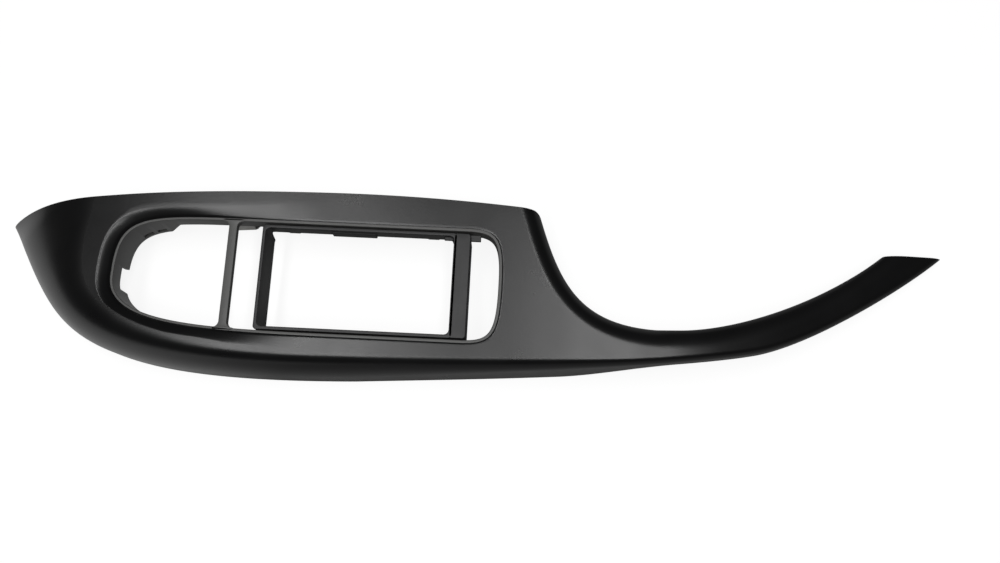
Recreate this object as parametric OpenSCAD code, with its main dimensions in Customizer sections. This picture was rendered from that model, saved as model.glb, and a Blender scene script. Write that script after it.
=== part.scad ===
// Pull handle with switch bezel for a car door, left-hand front door.
// It lies face up, as on a bench: x runs from the nose to the tip of the grip, the door
// stands on the +y side, and z = 0 is the plane of the moulding's lower rim.

/* [Outline] */
// Reach of the nose from the middle of the part, along x
nose_reach = 241; // [225:1:260]
// Reach of the grip tip from the middle of the part, along x
grip_reach = 241; // [232:1:252]
// Width from the front bulge to the crown of the door line
body_w = 90; // [84:0.2:94]
// Height of the switch deck above the lower rim
deck_h = 34.3; // [31:0.1:38]
// Radius of the door line, seen from above
door_r = 1000; // [900:10:1600]
// Radius of the corner where the door line meets the finger sweep
corner_r = 5; // [3:0.5:7]

/* [Skin] */
// Wall thickness of the moulded skin
skin_t = 2.5; // [2:0.1:3]
// Rise of the nose above the deck
nose_rise = 3.6; // [2:0.1:5]
// Width of the dish that leads from the nose down to the rim of the opening
dish_w = 13; // [9:0.5:16]
// Fall of the grip from the deck to its tip
grip_fall = 26.8; // [22:0.2:29]
// Depth of the return flange along the door line
flange_h = 9; // [6:0.5:12]
// Thickness of the return flange and of the stiffening ribs
rib_t = 1.8; // [1.2:0.1:2.4]

/* [Finger sweep and grip] */
// Place along x where the finger sweep leaves the door line
sweep_x = 33; // [29:0.5:38]
// Width of the grip at its waist, at the bottom of the sweep
waist_w = 16.6; // [14:0.2:20]
// Length of the flat foot that lies against the door at the grip's end
foot_len = 32; // [26:0.5:38]
// Rounding on the finger side
finger_r = 9.5; // [7:0.5:11]
// Rounding on the front side of the grip
grip_r = 5; // [4:0.2:6]
// Depth of the grip's upper half at the waist
split_depth = 10.5; // [10:0.1:12]

/* [Opening] */
// Length of the switch opening
open_len = 187.3; // [182:0.1:191]
// Width of the switch opening
open_w = 53.9; // [50:0.1:56]
// Turn of the opening against the x axis, in degrees
open_turn = -2.75; // [-3.5:0.05:-2]
// Thickness of the wall that hangs from the rim
well_t = 2.2; // [1.8:0.1:3]
// Width of the bright land around the opening
land_w = 1.0; // [0.8:0.1:1.4]
// Depth of the wall around the round end
well_deep = 19; // [16:0.5:22]
// Depth of the wall around the rest of the opening
well_shallow = 9; // [7:0.5:10]

/* [Divider] */
// Width of the divider's flat top
divider_w = 3; // [2.4:0.1:4]
// Gap between the divider and the switch frame
narrow_gap = 13; // [10:0.5:16]

/* [Switch frame] */
// Gap between the bar and the right end of the opening
right_gap = 14.65; // [12:0.05:17]
// Length of the frame
frame_len = 102.5; // [98:0.5:106]
// Height of the frame
frame_h = 20; // [17:0.5:22]
// Thickness of the frame's walls
frame_t = 1.6; // [1.2:0.1:2]
// Gap between the frame and the opening
frame_gap = 0.8; // [0.5:0.1:1.2]
// Width of the bar at the frame's right end
bar_w = 8.2; // [7:0.1:10]
// Step from the land down to the frame's top
frame_drop = 0.6; // [0.3:0.1:1]

/* [Grip lower shell] */
// Wall thickness of the lower shell
shell_t = 2.0; // [1.6:0.1:2.4]
// Height of the lip that laps the upper half
lip_h = 2; // [1.5:0.1:2.5]

/* [Fixings] */
// Bore of the pilots that take the door screws
door_pilot_d = 4.0; // [3.4:0.1:4.4]
// Outer diameter of the bosses for the door screws
door_boss_d = 9; // [8:0.5:11]
// Depth of the bores for the door screws
door_pilot_h = 18; // [12:1:22]
// Bore of the pilots that take the small screws
pilot_d = 2.1; // [1.8:0.1:2.4]
// Outer diameter of the small bosses
boss_d = 6.4; // [5.6:0.1:7]
// Outer diameter of the bosses in the grip
grip_boss_d = 5.6; // [5:0.1:6]
// Diameter of the small screws' heads
head_d = 5.2; // [4.6:0.1:5.6]
// Thickness of the spring clips' steel
clip_t = 0.6; // [0.4:0.1:0.8]
// Width of the spring clips
clip_w = 10; // [8:0.5:12]

/* [Hidden] */
$fn = 48;

// Colours of the moulding, of its plain inner parts and of the steel
black = [0.09, 0.09, 0.095];
dark_grey = [0.22, 0.22, 0.23];
zinc = [0.72, 0.72, 0.70];

// Clearances: two faces that seat, a lap between shells, a screw in its pilot
seat_gap = 0.1;
lap_gap = 0.25;
thread_gap = 0.05;
// Length by which a cutter or a fused piece runs past what it meets
past = 1;

// Basic curves

// Eases from 0 to 1 with a level start and end
function ease(t) = let (c = min(1, max(0, t))) c * c * (3 - 2 * c);
function mix(a, b, t) = a * (1 - t) + b * t;
function dir(angle) = [cos(angle), sin(angle)];
function left_of(v) = [-v.y, v.x];
function unit(v) = v / norm(v);
function turned(p, a) = [p.x * cos(a) - p.y * sin(a), p.x * sin(a) + p.y * cos(a)];
function bezier(p, t) = let (u = 1 - t)
    u * u * u * p[0] + 3 * u * u * t * p[1] + 3 * u * t * t * p[2] + t * t * t * p[3];
function bezier_dir(p, t) = let (u = 1 - t)
    unit(u * u * (p[1] - p[0]) + 2 * u * t * (p[2] - p[1]) + t * t * (p[3] - p[2]));
function straight(a, b) = [a, mix(a, b, 1 / 3), mix(a, b, 2 / 3), b];

// A path is a list of cubic arcs, and s counts along it, one unit for each arc.
// Past its ends the path runs on straight, run_out for each unit of s.
run_out = 60;
function arc_of(path, s) = path[min(len(path) - 1, max(0, floor(s)))];
function path_dir(path, s) = let (n = len(path))
    s <= 0 ? bezier_dir(path[0], 0) : s >= n ? bezier_dir(path[n - 1], 1)
    : bezier_dir(arc_of(path, s), s - floor(s));
function path_at(path, s) = let (n = len(path))
    s <= 0 ? path[0][0] + s * run_out * path_dir(path, s)
    : s >= n ? path[n - 1][3] + (s - n) * run_out * path_dir(path, s)
    : bezier(arc_of(path, s), s - floor(s));

// A smooth curve through stations [s, value], with slopes taken from the neighbours
function slope_at(k, i) = let (a = k[max(0, i - 1)], b = k[min(len(k) - 1, i + 1)])
    (i == 0 || i == len(k) - 1) ? 0 : (b[1] - a[1]) / (b[0] - a[0]);
function span_of(k, s) = max([for (i = [0 : len(k) - 2]) (s >= k[i][0] ? i : 0)]);
function through(k, s) = let (i = span_of(k, s), a = k[i], b = k[i + 1], w = b[0] - a[0],
    t = min(1, max(0, (s - a[0]) / w)), m0 = slope_at(k, i) * w, m1 = slope_at(k, i + 1) * w)
    (2 * pow(t, 3) - 3 * t * t + 1) * a[1] + (pow(t, 3) - 2 * t * t + t) * m0
    + (3 * t * t - 2 * pow(t, 3)) * b[1] + (pow(t, 3) - t * t) * m1;

// Outline of the moulding, seen from above

front_y = -body_w / 2;
door_crown_x = -102;
function door_y(x) = body_w / 2 - door_r + sqrt(door_r * door_r - pow(x - door_crown_x, 2));

nose_tip = [-nose_reach, door_y(-nose_reach)];
bulge = [-60, front_y];
// Knee of the front edge, where the body ends and the grip begins
knee = [138, front_y + 10.2];
knee_turn = 10.5;
foot_y = 17.5;
grip_tip = [grip_reach, foot_y];
front_path = [
    [nose_tip, nose_tip + 61 * dir(-59.5), [-nose_reach + 30, front_y], bulge],
    [bulge, bulge + [60, 1.2], knee - 44 * dir(knee_turn), knee],
    [knee, knee + 30 * dir(knee_turn), grip_tip - 27 * dir(37), grip_tip]];

sweep_top = [sweep_x, door_y(sweep_x)];
waist_x = 100.5;
waist = [waist_x, front_y + 5 + waist_w];
foot = [grip_reach - foot_len, foot_y];
sweep_path = [
    [sweep_top, sweep_top + 39.6 * dir(-75), waist - [48, 0], waist],
    [waist, waist + [31, 0], foot - 39 * dir(36), foot]];

// Outline of the switch opening, in the opening's own axes, anticlockwise from the round end
open_at = [-81.4, 1];
open_right = open_len / 2;
open_left = -open_len / 2;
open_front = -open_w / 2 + 0.4;
open_back = open_w / 2 + 0.4;
end_y = -3;
square_end = open_right - 17.5;
front_end = open_right - 70.15;
back_end = open_left + 71.95;
open_path = [
    [[open_left, end_y], [open_left, open_front - 0.8], [open_left + 49.15, open_front], [front_end, open_front]],
    straight([front_end, open_front], [square_end, open_front]),
    [[square_end, open_front], [open_right - 3.5, open_front],
     [open_right - 0.6, open_front + 3], [open_right, end_y]],
    [[open_right, end_y], [open_right + 0.3, open_back - 3],
     [open_right - 1.2, open_back], [square_end, open_back]],
    straight([square_end, open_back], [back_end, open_back]),
    [[back_end, open_back], [open_left + 7.65, open_back], [open_left, open_back], [open_left, end_y]]];
// The frame stands off the opening's right end, and the divider off the frame
frame_right = open_right - right_gap;
frame_left = frame_right - frame_len;
divider_x = frame_left - narrow_gap - divider_w / 2;
function open_s(s) = s < 0 ? s + len(open_path) : s;
function rim_own(s, off) = path_at(open_path, open_s(s)) - off * left_of(path_dir(open_path, open_s(s)));
function rim_at(s, off) = open_at + turned(rim_own(s, off), open_turn);
arc_steps = [14, 1, 8, 8, 1, 14];
function rim_outline(off) = [for (i = [0 : len(open_path) - 1], k = [0 : arc_steps[i] - 1])
    rim_own(i + k / arc_steps[i], off)];

// Heights of the skin

rim_z = deck_h - 0.3;
// The skin stands this much above the land
bead = 0.3;
rise_from = -70;
rise_len = 105;
fall_from = 95;
// The fall ends this much past the grip's tip
tip_past = 4;
fall_len = grip_reach + tip_past - fall_from;
function fall(t) = 1.8 * t * t - 0.8 * t * t * t;
function crown(x) = deck_h + nose_rise * ease((rise_from - x) / rise_len)
    - grip_fall * fall(min(1.1, max(0, (x - fall_from) / fall_len)));
// Depth of the upper half of the grip, and the parting line that it gives
tip_depth = 6.5;
thin_from = 150;
function split(x) = mix(split_depth, tip_depth, ease((x - thin_from) / (grip_reach - thin_from)));
function parting(x) = ease((x - 42) / 58) * (crown(x) - split(x));

// Width and depth of the rounding along the front edge, by its path's stations
front_round = [[-0.4, 65], [0, 62], [0.25, 38], [0.5, 22], [0.75, 12.5], [1, 9.5], [1.25, 7.2],
               [1.45, 5.4], [1.67, 3.4], [2, 3.4], [3.4, grip_r]];
front_depth = [[-0.4, deck_h], [0.25, deck_h], [0.5, 29], [0.75, 24], [1, 19], [1.25, 13],
               [1.45, 9], [1.67, 5.5], [2, grip_r], [3.4, grip_r]];
// Least height of the upright wall under the rounding, and how soft the rounding starts
wall_h = [[-0.4, 0.8], [0, 0.8], [0.35, 3], [4, 3]];
softness = [[-0.4, 0.9], [0, 0.9], [0.5, 0.4], [0.8, 0], [4, 0]];
function front_dz(s, x) = min(through(front_depth, s), crown(x) - parting(x) - through(wall_h, s));
finger_depth = [[-1, finger_r], [1.2, finger_r], [2, 5], [2.4, 5]];
finger_round = [[-1, finger_r], [0.5, finger_r], [1, finger_r + 1.5], [1.3, finger_r + 1.5], [2, 8], [2.4, 8]];
function finger_dz(f, x) = min(through(finger_depth, f), crown(x) - parting(x) - wall_h[3][1]);

// Points of the skin

round_n = 8;
nose_n = 28;
front_n = 9;
grip_n = 40;
fill_n = 4;
back_n = 14;
dish_n = 5;
join_s = 1.45;
front_ss = concat([-0.4], [for (i = [0 : nose_n]) i / nose_n],
    [for (i = [1 : front_n]) 1 + (join_s - 1) * i / front_n]);
grip_end_s = 3.3;
// Closer together in the sweep than along the grip
grip_ss = [for (i = [1 : grip_n]) mix(join_s, grip_end_s, pow(i / grip_n, 1.6))];
strip_ss = concat(front_ss, grip_ss);
join_c = len(front_ss) - 1;
// Station on the sweep that faces a station on the front edge
facing = [[1.45, -0.4], [1.48, 0], [1.52, 0.3], [1.57, 0.55], [1.62, 0.74], [1.68, 0.87], [1.77, 1],
          [2, 1.32], [3, 2], [3.4, 2.3]];
// Station on the opening's rim that faces a station on the front edge
rim_facing = [[-0.4, -0.46], [0, -0.42], [0.1, -0.36], [0.25, -0.18], [0.4, 0], [0.5, 0.09],
              [0.6, 0.22], [0.75, 0.48], [0.9, 0.78], [1, 1], [1.08, 1.27], [1.16, 1.58],
              [1.25, 1.93], [1.345, 2.36], [1.45, 2.66]];
rim_back_s = [2.66, 3.75, 5.54];

// Each strip point rolls over the edge: row 0 is the foot of the wall, the last row the crown
function roll(edge, inward, r, dz, soft, row, inset) = let (
    a = 90 * max(0, row - 1) / round_n,
    xy = edge + inward * (inset + (r - inset) * (1 - cos(a))))
    row == 0 ? [xy.x, xy.y, parting(edge.x)]
    : [xy.x, xy.y, crown(xy.x) - inset - (dz - inset) * (1 - mix(sin(a), sin(a) * sin(a), soft))];
function front_point(s, row, inset) = let (p = path_at(front_path, s))
    roll(p, left_of(path_dir(front_path, s)), through(front_round, s), front_dz(s, p.x),
         through(softness, s), row, inset);
function finger_point(s, row, inset) = let (f = through(facing, s), p = path_at(sweep_path, f))
    roll(p, -left_of(path_dir(sweep_path, f)), through(finger_round, f), finger_dz(f, p.x),
         0, row, inset);

last_row = round_n + 1;
function front_strip(inset) = [for (row = [0 : last_row]) [for (s = strip_ss)
    front_point(s, row, inset)]];
function finger_strip(inset) = [for (row = [last_row : -1 : 0])
    [for (s = concat([join_s], grip_ss)) finger_point(s, row, inset)]];
function fill_strip(front, finger, inset) = [for (row = [0 : fill_n]) [for (c = [0 : grip_n]) let (
    a = front[last_row][join_c + c], b = finger[0][c], p = mix(a, b, row / fill_n))
    row == 0 ? a : row == fill_n ? b : [p.x, p.y, crown(p.x) - inset]]];

// The ring runs from the strips in to the rim of the opening, and dips there
function ring_outer(front, fill, inset) = concat(
    [for (c = [0 : join_c]) front[last_row][c]],
    [for (row = [1 : fill_n]) fill[row][0]],
    [for (i = [1 : back_n]) let (a = fill[fill_n][0], b = front[last_row][0], p = mix(a, b, i / back_n))
        i == back_n ? b : [p.x, p.y, crown(p.x) - inset]]);
ring_s = concat([for (s = front_ss) through(rim_facing, s)],
    [for (i = [1 : fill_n]) mix(rim_back_s[0], rim_back_s[1], i / fill_n)],
    [for (i = [1 : back_n]) mix(rim_back_s[1], rim_back_s[2], i / back_n)]);
rim_margin = 1.5;
function ring_point(p, s, row, inset) = let (
    o = rim_at(s, 0), a = [p.x, p.y], reach = norm(a - o), dish = min(dish_w, 0.85 * reach),
    k = (dish_n + 2 - row) / dish_n,
    d = row == 1 ? (reach + dish) / 2 : dish * k,
    xy = row > dish_n + 2 ? rim_at(s, -rim_margin) : o + (a - o) * d / reach,
    low = rim_z + bead, t = row > dish_n + 2 ? 0 : ease(d / dish))
    row == 0 ? p : [xy.x, xy.y, mix(low, crown(xy.x), t) - inset];
function ring_strip(outer, inset) = [for (row = [0 : dish_n + 3]) [for (c = [0 : len(outer) - 1])
    ring_point(outer[c], ring_s[c], row, inset)]];

// Patches and polyhedra

function patch_faces(rows, cols, base, flip) = [for (r = [0 : rows - 2], c = [0 : cols - 2])
    let (a = base + r * cols + c, b = a + 1, d = a + cols, e = d + 1)
    each flip ? [[a, b, e], [a, e, d]] : [[a, e, b], [a, d, e]]];
function flat(list) = [for (l = list) each l];
function column(patch, c) = [for (row = patch) row[c]];
function side_by_side(a, b) = [for (i = [0 : len(a) - 1]) [a[i], b[i]]];

// A closed body from patches that meet edge to edge, each given as [rows of points, flip]
module quilt(patches) {
    sizes = [for (p = patches) len(p[0]) * len(p[0][0])];
    starts = [for (i = 0, n = 0; i < len(sizes); n = n + sizes[i], i = i + 1) n];
    polyhedron(
        points = flat([for (p = patches) flat(p[0])]),
        faces = flat([for (i = [0 : len(patches) - 1]) let (g = patches[i][0])
            patch_faces(len(g), len(g[0]), starts[i], patches[i][1])]));
}

module skin() {
    fo = front_strip(0);
    fi = front_strip(skin_t);
    go = finger_strip(0);
    gi = finger_strip(skin_t);
    mo = fill_strip(fo, go, 0);
    mi = fill_strip(fi, gi, skin_t);
    oo = ring_outer(fo, mo, 0);
    oi = ring_outer(fi, mi, skin_t);
    ro = ring_strip(oo, 0);
    ri = ring_strip(oi, skin_t);
    n = len(strip_ss) - 1;
    back_from = join_c + fill_n;
    quilt([
        [fo, false], [mo, false], [go, false], [ro, false],
        [fi, true], [mi, true], [gi, true], [ri, true],
        [[fi[0], fo[0]], false],
        [[go[last_row], gi[last_row]], false],
        [[ro[dish_n + 3], ri[dish_n + 3]], false],
        [side_by_side(column(fi, 0), column(fo, 0)), false],
        [side_by_side(column(gi, 0), column(go, 0)), false],
        [[[for (c = [back_from : len(oo) - 1]) oi[c]], [for (c = [back_from : len(oo) - 1]) oo[c]]], false],
        [side_by_side(column(fo, n), column(fi, n)), false],
        [side_by_side(column(mo, grip_n), column(mi, grip_n)), false],
        [side_by_side(column(go, grip_n), column(gi, grip_n)), false]]);
}

// What lies behind the door line and behind the grip's foot is cut away

door_slope = -asin((sweep_x - door_crown_x) / door_r);
sweep_slope = -75;
corner_leg = corner_r * tan((door_slope - sweep_slope) / 2);
corner_at = sweep_top - corner_leg * dir(door_slope) - corner_r * left_of(dir(door_slope));
door_steps = 24;
door_start = -nose_reach - 20;
far_y = body_w / 2 + 60;
cut_low = -12;
cut_h = deck_h + nose_rise - cut_low + past;
function door_edge(back) = [for (i = [0 : door_steps])
    let (x = mix(door_start, corner_at.x, i / door_steps)) [x, door_y(x) - back]];
module behind_door() {
    corner = [for (i = [0 : 6]) corner_at
        + corner_r * dir(mix(90 + door_slope, 90 + sweep_slope, i / 6))];
    translate([0, 0, cut_low])
        linear_extrude(cut_h)
            polygon(concat(door_edge(0), corner, [[sweep_x + 30, corner[6].y],
                [sweep_x + 30, far_y], [door_start, far_y]]));
    foot_cutter();
}
module foot_cutter() {
    translate([foot.x - 20, foot_y, cut_low])
        cube([foot_len + 90, 60, cut_h]);
}

module in_opening() {
    translate([open_at.x, open_at.y, 0]) rotate(open_turn) children();
}
module rim_prism(off, low, high) {
    translate([0, 0, low]) linear_extrude(high - low) polygon(rim_outline(off));
}

// Wall that hangs from the rim, deep around the round end and shallow elsewhere
step_x = divider_x - 19.5;
step_run = 8;
well_low = rim_z - well_deep;
well_mid = rim_z - well_shallow;
slot_w = 4.5;
slot_xs = [open_left + 14.65, open_left + 21.15];
slot_h = 3.5;
notch_w = 12;
module well_wall() {
    in_opening() difference() {
        rim_prism(well_t, well_low, rim_z);
        rim_prism(0, well_low - past, rim_z + past);
        // Sloped step from the deep wall up to the shallow one
        translate([0, body_w / 2, 0]) rotate([90, 0, 0]) linear_extrude(body_w)
            polygon([[step_x, well_low - past], [step_x, well_low],
                [step_x + step_run, well_mid], [open_right + 20, well_mid],
                [open_right + 20, well_low - past]]);
        // Two slots for the clips of the round switch, and a notch at its nose
        for (x = slot_xs)
            translate([x - slot_w / 2, open_back - 12, well_low + 2])
                cube([slot_w, 20, slot_h]);
        translate([open_left - 10, -notch_w / 2 - 2, well_low - past])
            cube([20, notch_w, well_deep - 10 + past]);
    }
}

// Divider between the round switch and the window switches, with rounded roots
root_r = 3;
divider_front = rim_own(0.66, 0).y;
divider_back = rim_own(5.095, 0).y;
module divider_root(side, x, y) {
    translate([x, y, well_mid]) difference() {
        translate([side > 0 ? -past : -root_r, -root_r - past, 0])
            cube([root_r + past, 2 * (root_r + past), well_shallow]);
        for (v = [-1, 1])
            translate([side * root_r, v * root_r, -past]) cylinder(h = well_shallow + 2 * past, r = root_r);
    }
}
module divider() {
    in_opening() intersection() {
        rim_prism(well_t / 2, well_mid, rim_z);
        union() {
            translate([divider_x - divider_w / 2, -body_w / 2, well_mid])
                cube([divider_w, body_w, well_shallow]);
            for (side = [-1, 1], y = [divider_front, divider_back])
                divider_root(side, divider_x + side * divider_w / 2, y);
        }
    }
}

// Return flange that stiffens the door edge, under the skin
flange_from = -160;
flange_to = 22;
module door_flange() {
    xs = [for (i = [0 : 12]) mix(flange_from, flange_to, i / 12)];
    intersection() {
        translate([0, 0, cut_low]) linear_extrude(cut_h)
            polygon(concat(door_edge(0), [for (i = [door_steps : -1 : 0]) door_edge(rib_t)[i]]));
        translate([0, far_y, 0]) rotate([90, 0, 0]) linear_extrude(far_y)
            polygon(concat([for (x = xs) [x, crown(x) - skin_t / 2]],
                [for (i = [len(xs) - 1 : -1 : 0]) [xs[i], crown(xs[i]) - skin_t - flange_h]]));
    }
}

// Bosses hang from the skin and sink into it by a small depth
sink = 0.4;
function under_skin(x) = crown(x) - skin_t;
module boss(at, d, low, bury, bore, depth) {
    translate([at.x, at.y, low]) difference() {
        cylinder(h = under_skin(at.x) + bury - low, d = d);
        translate([0, 0, -past]) cylinder(h = depth + past, d = bore);
    }
}

// Door screws: one in the nose, one at the door edge, two at the sweep and the front.
// The third number is the height of the boss's foot, which follows the carrier in the door.
door_y_in = body_w / 2 - 9.4;
door_screws_at = [[-nose_reach + 51, 22.5, 3], [-70, door_y_in, 3.8], [sweep_x - 7, 14, 4.6],
                  [sweep_x + 6, front_y + 17.5, 5.4]];

// Ears of the switch frame, in the opening's own axes, and the bosses that take them
ear_out = well_t + boss_d / 2 - 1;
ear_xs = [frame_left + 13.5, frame_right - 19];
ear_ys = [open_front - ear_out, open_back + ear_out];
ears_own = [for (x = ear_xs, y = ear_ys) [x, y]];
ears_at = [for (e = ears_own) open_at + turned(e, open_turn)];
ear_t = 2.4;
frame_boss_low = well_mid - 1;
frame_pilot_h = 6.5;

// Screws in the grip, by stations of the front edge
grip_screw_s = [1.84, 2.27, 2.63];
function grip_mid(s) = (path_at(front_path, s) + path_at(sweep_path, through(facing, s))) / 2;
grip_screws_at = [for (s = grip_screw_s) grip_mid(s)];
function grip_boss_low(at) = parting(at.x) - 1;
function grip_pilot_h(at) = under_skin(at.x) - grip_boss_low(at) - 0.5;
grip_sink = 0.9;

// Blades that carry the spring clips: place and turn of each
clips_at = [[-nose_reach + 48, 4, 70], [-118, body_w / 2 - 9.5, 2], [-18, body_w / 2 - 10, -3],
            [-45, front_y + 10.4, 0], [18, front_y + 12, 0]];
blade_t = 2;
blade_low = 6;
module blade(c) {
    translate([c.x, c.y, blade_low]) rotate(c[2])
        translate([-clip_w / 2 - 1, -blade_t / 2, 0])
            cube([clip_w + 2, blade_t, under_skin(c.x) + sink - blade_low]);
}

// Block in the grip's foot that takes a screw from the door
foot_screw_x = grip_reach - 21;
foot_screw_z = 7;
foot_pilot_d = 3.2;
foot_pilot_h = 5.5;
foot_block_w = 7;
foot_block_d = 6.2;
module foot_block() {
    low = foot_screw_z - 3.6;
    difference() {
        translate([foot_screw_x - foot_block_w / 2, foot_y - foot_block_d, low])
            cube([foot_block_w, foot_block_d,
                  under_skin(foot_screw_x + foot_block_w / 2) + 0.6 - low]);
        translate([foot_screw_x, foot_y + past, foot_screw_z]) rotate([90, 0, 0])
            cylinder(h = foot_pilot_h + past, d = foot_pilot_d);
    }
}

module panel_shell() {
    color(black) union() {
        difference() {
            skin();
            behind_door();
            in_opening() rim_prism(land_w, rim_z - 10, deck_h + nose_rise + past);
        }
        union() {
            well_wall();
            divider();
            door_flange();
            foot_block();
            for (p = door_screws_at)
                boss(p, door_boss_d, p[2], sink, door_pilot_d, door_pilot_h);
            for (p = ears_at) boss(p, boss_d, frame_boss_low, sink, pilot_d, frame_pilot_h);
            for (p = grip_screws_at)
                boss(p, grip_boss_d, grip_boss_low(p), grip_sink, pilot_d, grip_pilot_h(p));
            for (c = clips_at) blade(c);
        }
    }
}

// Switch frame, in the opening's own axes

frame_front = open_front + frame_gap;
frame_back = open_back - frame_gap;
frame_top = rim_z - frame_drop;
frame_low = frame_top - frame_h;
bar_left = frame_right - bar_w;
bar_t = 2.5;
ear_top = frame_boss_low - seat_gap;
screw_hole_d = pilot_d + 0.7;
// Corner points of a rectangle with round corners, anticlockwise
function rounded(x0, x1, y0, y1, r) = [for (q = [[x1 - r, y0 + r, -90], [x1 - r, y1 - r, 0],
    [x0 + r, y1 - r, 90], [x0 + r, y0 + r, 180]], k = [0 : 5]) [q[0], q[1]] + r * dir(q[2] + 18 * k)];
// Ledge on the back wall for the switch pack, and the tongue behind the bar
ledge_x = frame_left + 33.5;
ledge_w = 22;
ledge_out = 1.2;
tongue_x = frame_right - 13;
tongue_w = 18;
tongue_out = 3.2;
module ear(p) {
    out = p.y > 0 ? 1 : -1;
    wall_y = out > 0 ? frame_back : frame_front;
    w = boss_d;
    translate([p.x, p.y, ear_top - ear_t]) cylinder(h = ear_t, d = w);
    translate([p.x - w / 2, min(p.y, wall_y - out * frame_t / 2), ear_top - ear_t])
        cube([w, abs(p.y - wall_y) + frame_t / 2, ear_t]);
}
module switch_frame() {
    color(dark_grey) in_opening() difference() {
        union() {
            difference() {
                translate([0, 0, frame_low]) linear_extrude(frame_h)
                    polygon(rounded(frame_left, frame_right, frame_front, frame_back, 1.5));
                // Window for the switch pack
                translate([0, 0, frame_low - past]) linear_extrude(frame_h + 2 * past)
                    polygon(rounded(frame_left + frame_t, bar_left, frame_front + frame_t,
                        frame_back - frame_t, 2.5));
                // Hollow under the bar
                translate([bar_left + frame_t, frame_front + frame_t, frame_low - past])
                    cube([bar_w - 2 * frame_t, frame_back - frame_front - 2 * frame_t,
                          frame_h - bar_t + past]);
            }
            translate([ledge_x, frame_back - frame_t - ledge_out, frame_top - 5])
                cube([ledge_w, ledge_out + frame_t / 2, 2]);
            translate([tongue_x, frame_back - tongue_out, frame_top - bar_t - 1.5])
                cube([tongue_w, tongue_out, 1.5]);
            for (p = ears_own) ear(p);
        }
        for (p = ears_own) translate([p.x, p.y, ear_top - ear_t - past])
            cylinder(h = ear_t + 2 * past, d = screw_hole_d);
    }
}

// Lower half of the grip

low_from = 1.67;
low_n = 32;
low_arc_n = 5;
low_round = 6;
low_share = 0.6;
lip_t = 1.3;
lip_in = skin_t + lap_gap;
low_ss = [for (i = [0 : low_n]) mix(low_from, grip_end_s, i / low_n)];
// The hollow starts later by the thickness of the end wall
hollow_late = 0.012;
hollow_ss = [for (i = [0 : low_n]) mix(low_from + hollow_late, grip_end_s, i / low_n)];
low_rise_from = 120;
function low_z(x) = low_share * (crown(x) - split(x))
    * (1 - ease((x - low_rise_from) / (grip_reach - low_rise_from)));
// Curve from the edge down to the floor, in quarter turns of an ellipse
function low_curve(edge, inward, inset, top, floor_t) = [for (k = [0 : low_arc_n]) let (
    a = 90 * k / low_arc_n, xy = edge + inward * (inset + (low_round - inset) * (1 - cos(a))))
    [xy.x, xy.y, mix(top, min(low_z(xy.x) + floor_t, parting(edge.x) - 0.8), sin(a))]];
// Half a section: the lip that laps the upper half, its ledge, and the curve outside or inside
function low_outside(edge, inward) = let (l = edge + inward * lip_in, top = parting(edge.x))
    concat([[l.x, l.y, top + lip_h], [l.x, l.y, top - seat_gap]],
        low_curve(edge, inward, 0, top - seat_gap, 0));
function low_inside(edge, inward) = let (l = edge + inward * (lip_in + lip_t), top = parting(edge.x))
    concat([[l.x, l.y, top + lip_h], [l.x, l.y, top - seat_gap]],
        low_curve(edge, inward, shell_t, min(top - 0.4, mix(low_z(edge.x), top, 0.75)), shell_t));
function back_to_front(list) = [for (i = [len(list) - 1 : -1 : 0]) list[i]];
function low_section(s, outside) = let (f = through(facing, s),
    a = path_at(front_path, s), b = path_at(sweep_path, f),
    u = left_of(path_dir(front_path, s)), v = -left_of(path_dir(sweep_path, f)))
    concat(outside ? low_outside(a, u) : low_inside(a, u),
        back_to_front(outside ? low_outside(b, v) : low_inside(b, v)));
// Closes the end of a section by strips between its two halves
function halves(section) = let (m = len(section))
    [[for (k = [0 : m / 2 - 1]) section[k]], [for (k = [0 : m / 2 - 1]) section[m - 1 - k]]];
module low_skin() {
    out = [for (s = low_ss) low_section(s, true)];
    in = [for (s = hollow_ss) low_section(s, false)];
    n = low_n;
    m = len(out[0]) - 1;
    quilt([
        [out, false], [in, true],
        [halves(out[0]), true], [halves(in[0]), false],
        [[[out[0][0], out[0][m]], [in[0][0], in[0][m]]], true],
        [[column(out, 0), column(in, 0)], false], [[column(in, m), column(out, m)], false],
        [[out[n], in[n]], false]]);
}
screw_seat = 0.45;
function grip_seat_z(at) = mix(low_z(at.x), grip_boss_low(at) - seat_gap, screw_seat);
module grip_lower_shell() {
    color(black) difference() {
        union() {
            low_skin();
            for (p = grip_screws_at) translate([p.x, p.y, low_z(p.x) + shell_t / 2])
                cylinder(h = grip_boss_low(p) - seat_gap - low_z(p.x) - shell_t / 2, d = head_d + 2.6);
        }
        foot_cutter();
        for (p = grip_screws_at) {
            translate([p.x, p.y, -past]) cylinder(h = deck_h, d = screw_hole_d);
            translate([p.x, p.y, -past]) cylinder(h = grip_seat_z(p) + past, d = head_d + 0.6);
        }
    }
}

// Pan-head screws, seated from below
module screw(at, seat_z, length) {
    head_h = 0.4 * head_d;
    translate([at.x, at.y, seat_z]) {
        cylinder(h = length, d = pilot_d - 2 * thread_gap);
        difference() {
            translate([0, 0, -head_h - seat_gap / 2]) cylinder(h = head_h, d = head_d);
            for (turn = [0, 90]) rotate(turn) translate([-1.5, -0.35, -head_h - past])
                cube([3, 0.7, past + 1]);
        }
        translate([0, 0, -seat_gap]) cylinder(h = seat_gap + 0.1, d = pilot_d - 2 * thread_gap);
    }
}
module frame_screws() {
    color(zinc) for (p = ears_at) screw(p, ear_top - ear_t, ear_t + seat_gap + frame_pilot_h - 1);
}
module grip_screws() {
    color(zinc) for (p = grip_screws_at)
        screw(p, grip_seat_z(p), grip_boss_low(p) - grip_seat_z(p) + grip_pilot_h(p) - 1);
}

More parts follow.
